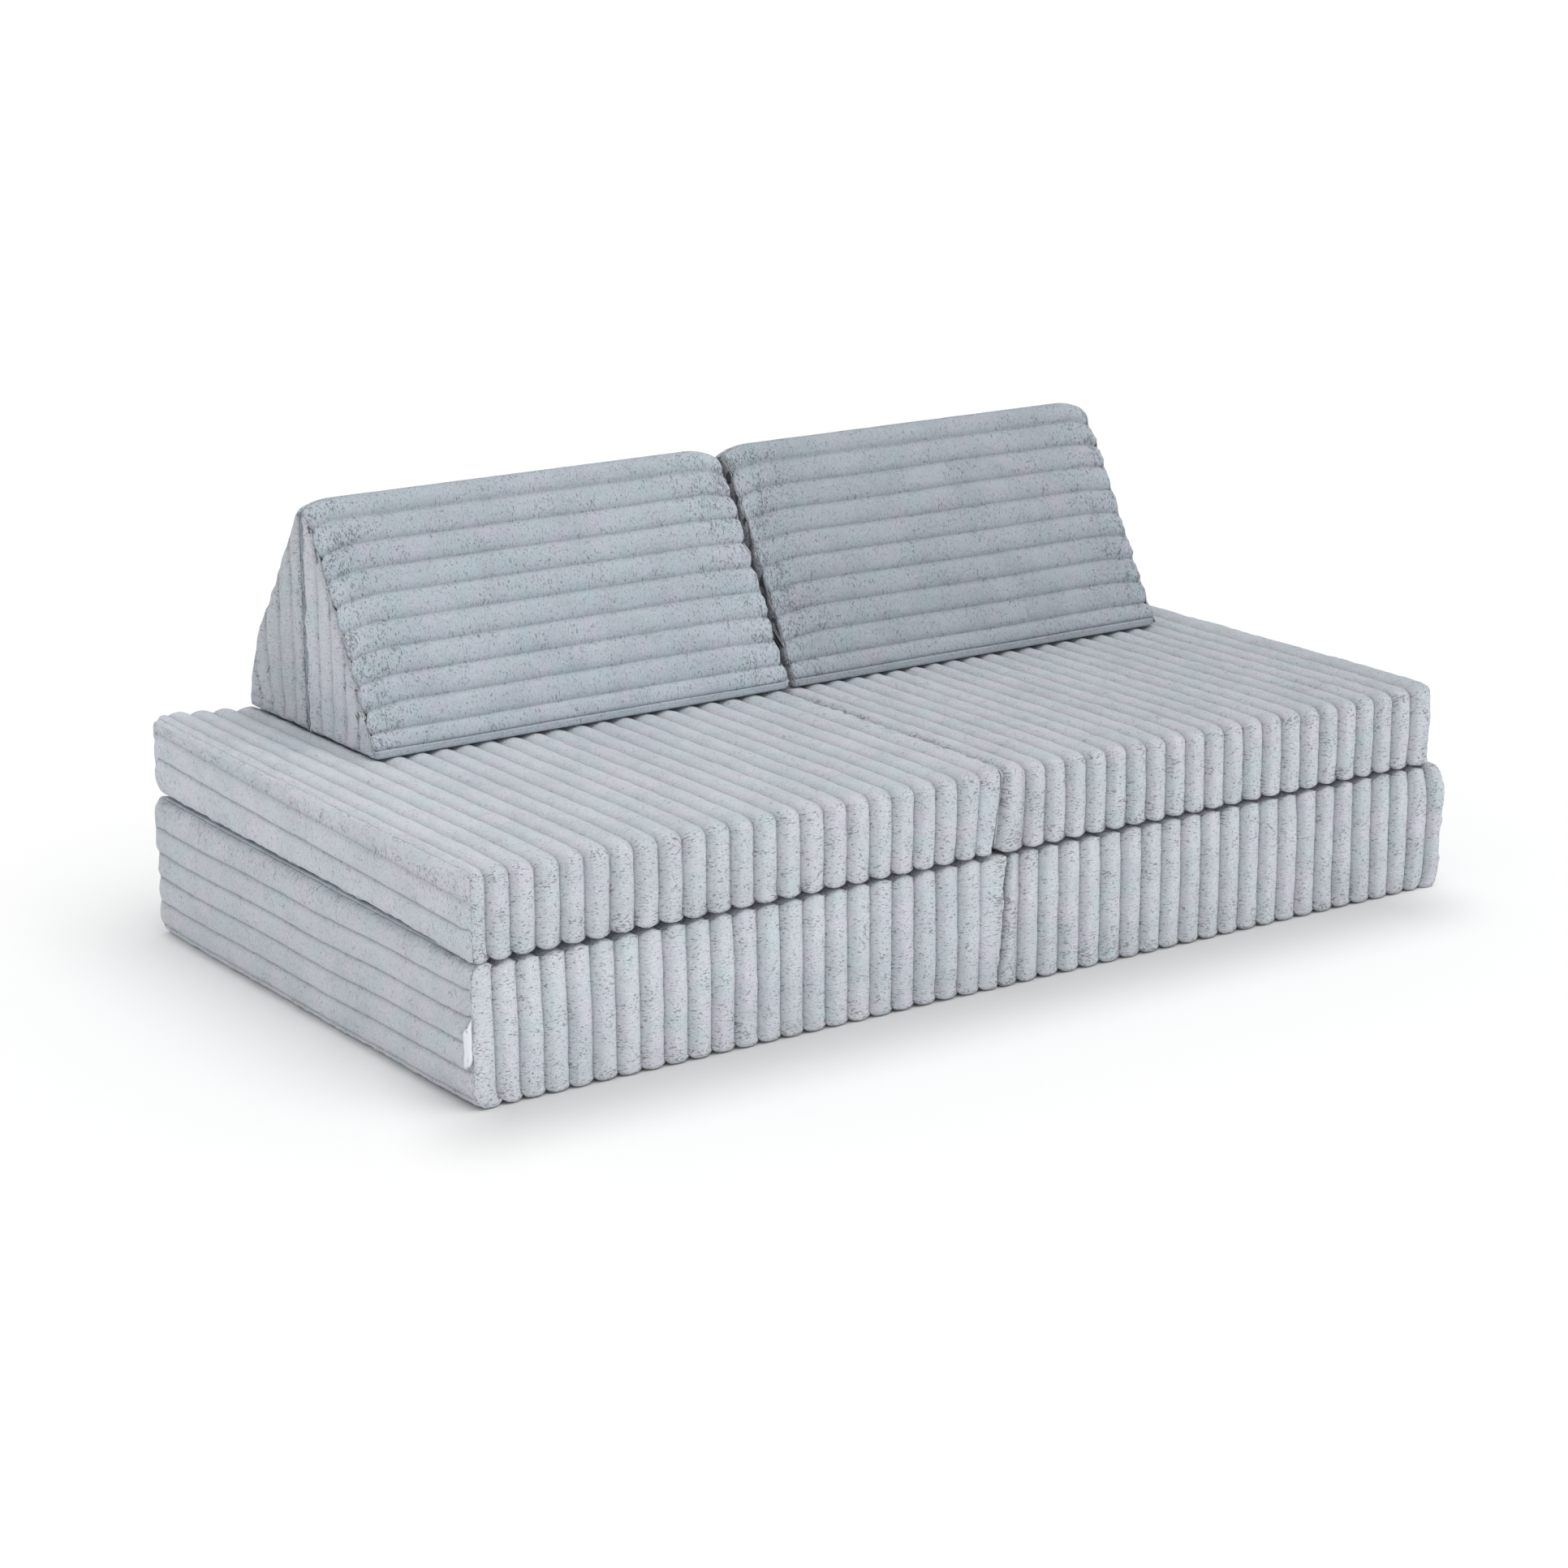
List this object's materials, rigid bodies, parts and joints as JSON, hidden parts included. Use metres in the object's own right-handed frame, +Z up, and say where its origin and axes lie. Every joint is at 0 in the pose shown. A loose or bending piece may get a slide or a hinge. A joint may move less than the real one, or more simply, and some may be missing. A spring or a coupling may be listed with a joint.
{
  "type": "modular foam play sofa",
  "caption": "Low modular foam sofa of folding base and seat mattresses with loose folding wedge backrests in wide-ribbed plush covers.",
  "frame": {"origin": "on the floor, at the fold line of the base, half way from front to rear", "axes": "+X along the front to the right, +Y to the rear, +Z up"},
  "size_m": [1.6608, 0.9, 0.6393],
  "materials": {
    "plush": "wide-ribbed short pile plush, matt",
    "plain_cloth": "plain woven, matt",
    "seam_tape": "woven tape, matt",
    "zip_tape": "woven tape with coil teeth",
    "zip_metal": "satin",
    "foam": "open-cell foam block",
    "tag": "blank satin ribbon"
  },
  "bodies": {
    "base_left": {"base_left_cover": "plush", "base_left_end_panel": "plush", "base_left_fold_panel": "plain_cloth", "base_left_foam": "foam", "base_left_zip": "zip_tape", "base_fold_tape": "seam_tape", "blank_tag": "tag"},
    "base_right": {"base_right_cover": "plush", "base_right_end_panel": "plush", "base_right_fold_panel": "plain_cloth", "base_right_foam": "foam", "base_right_zip": "zip_tape"},
    "seat_left": {"seat_left_cover": "plush", "seat_left_end_panel": "plush", "seat_left_fold_panel": "plain_cloth", "seat_left_foam": "foam", "seat_left_zip": "zip_tape", "seat_fold_tape": "seam_tape"},
    "seat_right": {"seat_right_cover": "plush", "seat_right_end_panel": "plush", "seat_right_fold_panel": "plain_cloth", "seat_right_foam": "foam", "seat_right_zip": "zip_tape"},
    "back_left_rear": {"back_left_rear_cover": "plush", "back_left_rear_left_panel": "plush", "back_left_rear_right_panel": "plush", "back_left_rear_foam": "foam", "back_left_rear_zip": "zip_tape", "back_left_ridge_tape": "seam_tape"},
    "back_left_front": {"back_left_front_cover": "plush", "back_left_front_left_panel": "plush", "back_left_front_right_panel": "plush", "back_left_front_foam": "foam", "back_left_front_zip": "zip_tape"},
    "back_right_rear": {"back_right_rear_cover": "plush", "back_right_rear_left_panel": "plush", "back_right_rear_right_panel": "plush", "back_right_rear_foam": "foam", "back_right_rear_zip": "zip_tape", "back_right_ridge_tape": "seam_tape"},
    "back_right_front": {"back_right_front_cover": "plush", "back_right_front_left_panel": "plush", "back_right_front_right_panel": "plush", "back_right_front_foam": "foam", "back_right_front_zip": "zip_tape"},
    "base_left_slider": {"base_left_slider": "zip_metal"},
    "base_right_slider": {"base_right_slider": "zip_metal"},
    "seat_left_slider": {"seat_left_slider": "zip_metal"},
    "seat_right_slider": {"seat_right_slider": "zip_metal"},
    "back_left_rear_slider": {"back_left_rear_slider": "zip_metal"},
    "back_left_front_slider": {"back_left_front_slider": "zip_metal"},
    "back_right_rear_slider": {"back_right_rear_slider": "zip_metal"},
    "back_right_front_slider": {"back_right_front_slider": "zip_metal"}
  },
  "joints": [
    {"name": "base_fold", "type": "hinge", "parent": "base_left", "child": "base_right", "pos_m": [0, 0, -0.0005], "axis": [0, 1, 0], "range_deg": [0, 178]},
    {"name": "seat_lift", "type": "slide", "parent": "base_left", "child": "seat_left", "axis": [0, 0, 1], "range_m": [0, 0.4]},
    {"name": "seat_fold", "type": "hinge", "parent": "seat_left", "child": "seat_right", "pos_m": [0, 0, 0.314], "axis": [0, -1, 0], "range_deg": [0, 0.3]},
    {"name": "back_left_lift", "type": "slide", "parent": "seat_left", "child": "back_left_rear", "axis": [0, 0, 1], "range_m": [0, 0.4]},
    {"name": "back_left_open", "type": "hinge", "parent": "back_left_rear", "child": "back_left_front", "pos_m": [-0.3286, 0.2577, 0.6398], "axis": [-1, 0, 0], "range_deg": [0, 180]},
    {"name": "back_right_lift", "type": "slide", "parent": "seat_right", "child": "back_right_rear", "axis": [0, 0, 1], "range_m": [0, 0.4]},
    {"name": "back_right_open", "type": "hinge", "parent": "back_right_rear", "child": "back_right_front", "pos_m": [0.3616, 0.2577, 0.6398], "axis": [-1, 0, 0], "range_deg": [0, 180]},
    {"name": "base_left_zip_pull", "type": "slide", "parent": "base_left", "child": "base_left_slider", "axis": [1, 0, 0], "range_m": [0, 0.68]},
    {"name": "base_right_zip_pull", "type": "slide", "parent": "base_right", "child": "base_right_slider", "axis": [-1, 0, 0], "range_m": [0, 0.68]},
    {"name": "seat_left_zip_pull", "type": "slide", "parent": "seat_left", "child": "seat_left_slider", "axis": [1, 0, 0], "range_m": [0, 0.67]},
    {"name": "seat_right_zip_pull", "type": "slide", "parent": "seat_right", "child": "seat_right_slider", "axis": [-1, 0, 0], "range_m": [0, 0.67]},
    {"name": "back_left_rear_zip_pull", "type": "slide", "parent": "back_left_rear", "child": "back_left_rear_slider", "axis": [-1, 0, 0], "range_m": [0, 0.54]},
    {"name": "back_left_front_zip_pull", "type": "slide", "parent": "back_left_front", "child": "back_left_front_slider", "axis": [-1, 0, 0], "range_m": [0, 0.54]},
    {"name": "back_right_rear_zip_pull", "type": "slide", "parent": "back_right_rear", "child": "back_right_rear_slider", "axis": [-1, 0, 0], "range_m": [0, 0.54]},
    {"name": "back_right_front_zip_pull", "type": "slide", "parent": "back_right_front", "child": "back_right_front_slider", "axis": [-1, 0, 0], "range_m": [0, 0.54]}
  ]
}
